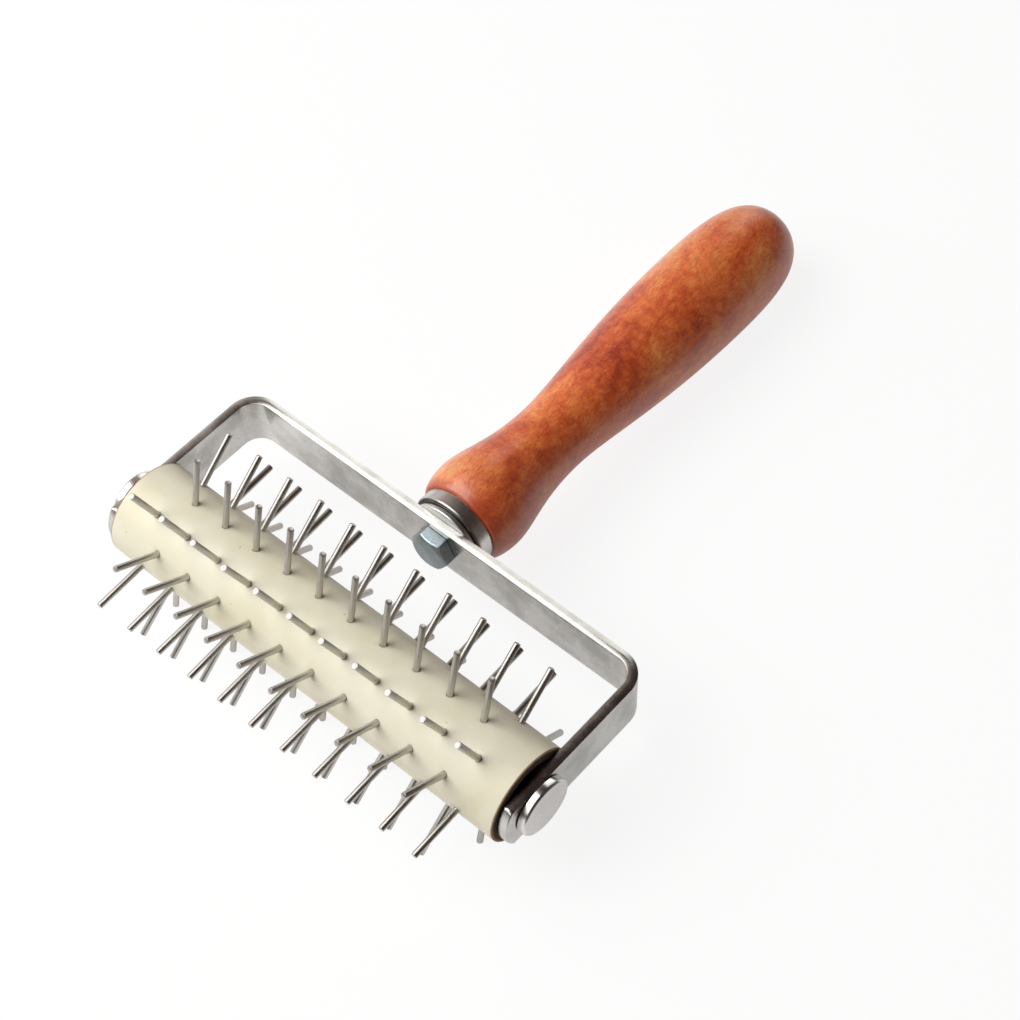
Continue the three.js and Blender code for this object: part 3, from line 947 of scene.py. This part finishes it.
def handle_outline():
    """Flare, waist, belly and round end of the handle."""
    flare, waist, belly = ((radius, SHOULDER + along) for radius, along in (FLARE, WAIST, BELLY))
    front = (FERRULE_RADIUS + SHOULDER_LIP, FERRULE_BACK + TIGHT_GAP)
    end = (0, SHOULDER + HANDLE_LENGTH)
    to_flare = flare[1] - front[1]
    to_waist = waist[1] - flare[1]
    to_belly = belly[1] - waist[1]
    to_end = end[1] - belly[1]
    outline = [front]
    outline += bezier(front, ((front[0] + flare[0]) / 2, front[1]),
                      (flare[0], flare[1] - to_flare / 2), flare)
    outline += bezier(flare, (flare[0], flare[1] + FLARE_EASE * to_waist),
                      (waist[0], waist[1] - WAIST_EASE_IN * to_waist), waist)
    outline += bezier(waist, (waist[0], waist[1] + WAIST_EASE_OUT * to_belly),
                      (belly[0], belly[1] - BELLY_EASE_IN * to_belly), belly)
    outline += bezier(belly, (belly[0], belly[1] + BELLY_EASE_OUT * to_end),
                      (END_FULLNESS * belly[0], end[1]), end)
    return outline


def make_handle():
    tenon = FERRULE_RADIUS - FERRULE_WALL - SEAT_GAP
    bottom = max(BOLT_TIP, TENON_FRONT + INSERT_LENGTH) + BORE_ROOM
    outline = [
        (0, bottom),
        (INSERT_BORE, bottom),
        (INSERT_BORE, TENON_FRONT),
        (tenon, TENON_FRONT),
        (tenon, FERRULE_BACK + TIGHT_GAP),
    ]
    points, faces = turned(outline + handle_outline(), HANDLE_SIDES)
    piece = finish_mesh("handle_turned", points, faces, TOOL, SOFT_CREASE)
    return dress(piece, "frame", handle_wood, "handle_wood", "handle")


pin_draws = random.Random(PIN_SEED)
shiny_pieces = [make_pin_row(row_number, pin_draws) for row_number in range(ROW_COUNT)]
shiny_pieces += [make_bar(), make_washer(), make_ferrule()]
bolt = make_bolt()
make_sleeve()
make_core()
make_handle()
for side_name, side_sign in (("right", 1), ("left", -1)):
    make_bush(side_name, side_sign)
    shiny_pieces.append(make_cap(side_name, side_sign))
for node_name, node_material in (("axle", cap_steel), ("handle_insert", brass)):
    node_object = frame["nodes"][node_name]
    node_object.data.materials.clear()
    node_object.data.materials.append(node_material)


# Stage, light and camera. Lengths are in metres.

FLOOR_HALF = 15
FLOOR_COLOR = (0.94, 0.94, 0.93)
FLOOR_STRENGTH = 1.02  # of its own white
FLOOR_EYE_SHARE = 0.86  # of the floor's own white, as the eye sees it
FLOOR_MIRROR_SHARE = 0.4  # of the same, as shiny pieces mirror it
FLOOR_RIGHT_FADE = (0.08, 0.125)  # distances to the right between which the mirrored floor darkens
FLOOR_ROUND_FADE = (0.2, 0.5)  # the same, all round but in front
FLOOR_FRONT = (-0.15, 0.05)  # places, front to back, between which that begins
ROOM_UPPER_LEFT = (0.32, 0.245, 0.215)
ROOM_UPPER_RIGHT = (0.042, 0.027, 0.023)
ROOM_BACK = (0.14, 0.13, 0.12)
ROOM_WINDOW = (1.6, 1.6, 1.53)
ROOM_FRONT = (1.5, 1.5, 1.5)
ROOM_LEFT = (0.72, 0.69, 0.66)
ROOM_RIGHT = (0.13, 0.105, 0.09)

# Borders in the room: values of the direction's x, y or z between which one side blends into the other.
UPPER_BORDER = (-0.7, -0.25)  # between the upper left and right
LOW_BORDER = (0.25, 0.55)  # below it are the left, the back and the right
LEFT_BORDER = (-0.85, -0.55)
BACK_BORDER = (0.5, 0.85)
RIGHT_BORDER = (0.5, 0.8)
WINDOW_LEFT = (-0.68, -0.58)
WINDOW_RIGHT = (-0.28, -0.2)
WINDOW_FRONT = (0.66, 0.74)
FRONT_WALL_BACK = (-0.35, -0.15)
FRONT_WALL_RIGHT = (-0.05, 0.15)
FRONT_WALL_FOOT = (0.25, 0.4)
FRONT_WALL_TOP = (0.6, 0.75)

SOFTBOX_DIRECTION = Vector((-0.45, -0.38, 0.81))
SOFTBOX_DISTANCE = 0.9
SOFTBOX_SIZE = 0.85
SOFTBOX_POWER = 9.6
STEEL_SOFTBOX_POWER = 5.0  # for the shiny pieces, which mirror the softbox
CARD_DIRECTION = Vector((-0.28, 0.5, 0.82))
CARD_SIZE = 0.8
CARD_POWER = 3.2  # of a white card above the back left, which only the bolt mirrors
CAMERA_PLACE = AXLE + Vector((0.21533, -0.13452, 0.44551))
CAMERA_AIM = AXLE + Vector((0.00285, 0.05854, -0.01272))
CAMERA_ROLL = math.radians(-8.18)
CAMERA_LENS = 78.31  # millimetres, as is the sensor
CAMERA_SENSOR = 36


def make_floor():
    """A white table that keeps a soft shadow.

    Shiny pieces mirror it white near the tool, and dim and brown further off.
    """
    corners = [(x * FLOOR_HALF, y * FLOOR_HALF, 0) for x, y in ((-1, -1), (1, -1), (1, 1), (-1, 1))]
    mesh = bpy.data.meshes.new("floor")
    mesh.from_pydata(corners, [], [(0, 1, 2, 3)])
    floor = bpy.data.objects.new("floor", mesh)
    bpy.context.scene.collection.objects.link(floor)
    tree, shader, material = new_material("floor_white", FLOOR_COLOR, 0.9)
    shader.inputs["Specular IOR Level"].default_value = 0.0
    path = add(tree, "LightPath").outputs
    eye = math_node(tree, "MAXIMUM", path["Is Camera Ray"], path["Is Transmission Ray"])
    mirror = path["Is Glossy Ray"]
    share = weighted(tree, eye, FLOOR_EYE_SHARE, mirror, FLOOR_MIRROR_SHARE)
    white = add(tree, "Emission", {"Color": (1, 1, 1, 1), "Strength": FLOOR_STRENGTH}).outputs[0]
    table = add(tree, "MixShader", {0: share, 1: shader.outputs[0], 2: white}).outputs[0]
    place = add(tree, "TexCoord").outputs["Object"]
    away = add(tree, "VectorMath", {0: place}, operation="LENGTH").outputs["Value"]
    x, y = add(tree, "SeparateXYZ", {0: place}).outputs[:2]
    far = product(tree, spread(tree, away, *FLOOR_ROUND_FADE), spread(tree, y, *FLOOR_FRONT))
    fade = math_node(tree, "MAXIMUM", spread(tree, x, *FLOOR_RIGHT_FADE), far)
    dim = add(tree, "Emission", {"Color": (*ROOM_RIGHT, 1), "Strength": 1.0}).outputs[0]
    surface = add(tree, "MixShader", {0: product(tree, mirror, fade), 1: table, 2: dim}).outputs[0]
    tree.links.new(surface, tree.nodes["Material Output"].inputs["Surface"])
    mesh.materials.append(material)


def make_world():
    """A dim room: light on the left, grey low at the back, brown on the right.

    Shiny pieces also mirror a white wall at the front left and a window at the back left.
    """
    world = bpy.data.worlds.new("room")
    world.use_nodes = True
    tree = world.node_tree
    direction = add(tree, "TexCoord").outputs["Generated"]
    x, y, z = add(tree, "SeparateXYZ", {0: direction}).outputs
    mirror = add(tree, "LightPath").outputs["Is Glossy Ray"]

    def past(part, border):
        return spread(tree, part, *border)

    def before(part, border):
        return spread(tree, part, *border, 1.0, 0.0)

    low = before(z, LOW_BORDER)
    back = product(tree, past(y, BACK_BORDER), low)
    left = product(tree, before(x, LEFT_BORDER), low)
    right = product(tree, past(x, RIGHT_BORDER), low)
    window = product(tree, past(x, WINDOW_LEFT), before(x, WINDOW_RIGHT), past(y, WINDOW_FRONT), mirror)
    front = product(tree, before(y, FRONT_WALL_BACK), before(x, FRONT_WALL_RIGHT),
                    past(z, FRONT_WALL_FOOT), before(z, FRONT_WALL_TOP), mirror)
    color = mix(tree, past(x, UPPER_BORDER), ROOM_UPPER_LEFT, ROOM_UPPER_RIGHT)
    color = mix(tree, left, color, ROOM_LEFT)
    color = mix(tree, back, color, ROOM_BACK)
    color = mix(tree, right, color, ROOM_RIGHT)
    color = mix(tree, front, color, ROOM_FRONT)
    color = mix(tree, window, color, ROOM_WINDOW)
    tree.links.new(color, tree.nodes["Background"].inputs["Color"])
    bpy.context.scene.world = world


def make_softbox(name, power, pieces, state, direction=SOFTBOX_DIRECTION, size=SOFTBOX_SIZE):
    """A square light, by default above the front left, for the given pieces alone or for all but these."""
    light = bpy.data.lights.new(name, "AREA")
    light.shape = "SQUARE"
    light.size = size
    light.energy = power
    box = bpy.data.objects.new(name, light)
    out = direction.normalized()
    side = (Vector((1, 0, 0)) - out * out.x).normalized()
    turn = Matrix((side, out.cross(side), out)).transposed().to_4x4()
    box.matrix_world = Matrix.Translation(out * SOFTBOX_DISTANCE) @ turn
    box.visible_camera = False
    bpy.context.scene.collection.objects.link(box)
    lit = bpy.data.collections.new(name)
    for piece in pieces:
        lit.objects.link(piece)
    for entry in lit.collection_objects:
        entry.light_linking.link_state = state
    box.light_linking.receiver_collection = lit


def make_camera():
    data = bpy.data.cameras.new("camera")
    data.lens = CAMERA_LENS
    data.sensor_width = CAMERA_SENSOR
    camera = bpy.data.objects.new("camera", data)
    aim = (CAMERA_AIM - CAMERA_PLACE).to_track_quat("-Z", "Y").to_matrix().to_4x4()
    camera.matrix_world = Matrix.Translation(CAMERA_PLACE) @ aim @ Matrix.Rotation(CAMERA_ROLL, 4, "Z")
    bpy.context.scene.collection.objects.link(camera)
    bpy.context.scene.camera = camera


make_floor()
make_world()
make_softbox("softbox", SOFTBOX_POWER, shiny_pieces, "EXCLUDE")
make_softbox("steel_softbox", STEEL_SOFTBOX_POWER, shiny_pieces, "INCLUDE")
make_softbox("bolt_card", CARD_POWER, [bolt], "INCLUDE", CARD_DIRECTION, CARD_SIZE)
make_camera()
bpy.context.scene.view_settings.view_transform = "Standard"
